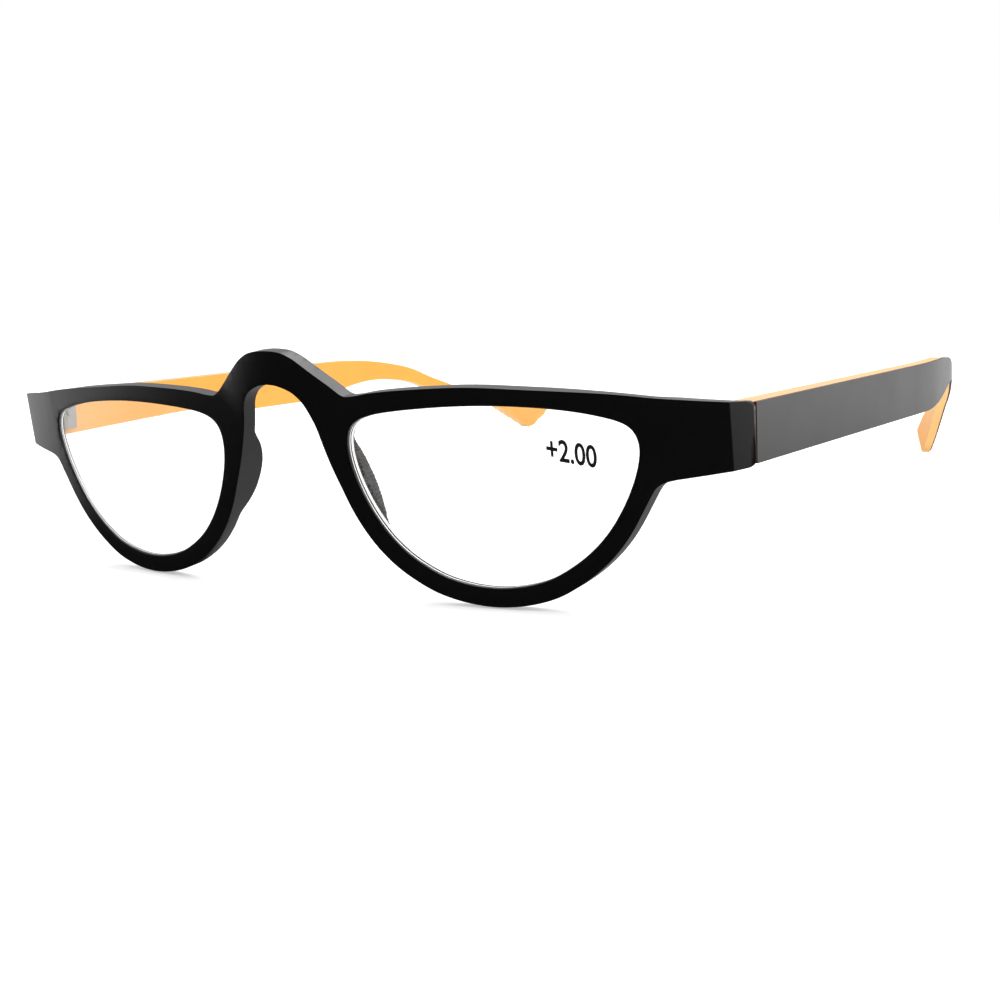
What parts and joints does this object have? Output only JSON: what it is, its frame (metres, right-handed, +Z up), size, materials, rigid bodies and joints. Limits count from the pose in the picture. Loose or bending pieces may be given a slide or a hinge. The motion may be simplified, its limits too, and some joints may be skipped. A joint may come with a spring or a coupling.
{
  "type": "reading glasses",
  "caption": "Half-moon reading glasses with a bowed plastic front, arched bridge, plus-power lenses and two-layer temples that fold on screw hinges.",
  "frame": {"origin": "middle of the whole part's box, on the floor that the rims and the temple tips rest on", "axes": "+X towards the wearer's left, the front faces -Y, temples run back along +Y, +Z up; the front leans back by about 3.8 degrees as it stands"},
  "size_m": [0.1426, 0.1468, 0.0375],
  "materials": {
    "front_black": "soft satin black moulded plastic",
    "temple_black": "satin black outer layer",
    "temple_orange": "bright orange plastic, polished edges",
    "lens_clear": "clear polished lens plastic with a matt edge",
    "hinge_metal": "plated nickel-silver hinge leaves",
    "screw_metal": "plain steel screws"
  },
  "bodies": {
    "front": {"front_frame": "front_black", "left_lens": "lens_clear", "right_lens": "lens_clear", "left_front_leaf": "hinge_metal", "right_front_leaf": "hinge_metal", "front_leaf_screws": "screw_metal", "left_hinge_screw": "screw_metal", "right_hinge_screw": "screw_metal"},
    "left_temple": {"left_temple_leaf": "hinge_metal", "left_temple_leaf_screws": "screw_metal", "left_temple_core": "temple_orange", "left_temple_skin": "temple_black"},
    "right_temple": {"right_temple_leaf": "hinge_metal", "right_temple_leaf_screws": "screw_metal", "right_temple_core": "temple_orange", "right_temple_skin": "temple_black"}
  },
  "joints": [
    {"name": "left_temple_fold", "type": "hinge", "parent": "front", "child": "left_temple", "pos_m": [0.0657, -0.0573, 0.02465], "axis": [0, 0.0395, 0.9992], "range_deg": [0, 84]},
    {"name": "right_temple_fold", "type": "hinge", "parent": "front", "child": "right_temple", "pos_m": [-0.0657, -0.0573, 0.02465], "axis": [0, -0.0395, -0.9992], "range_deg": [0, 72]}
  ]
}
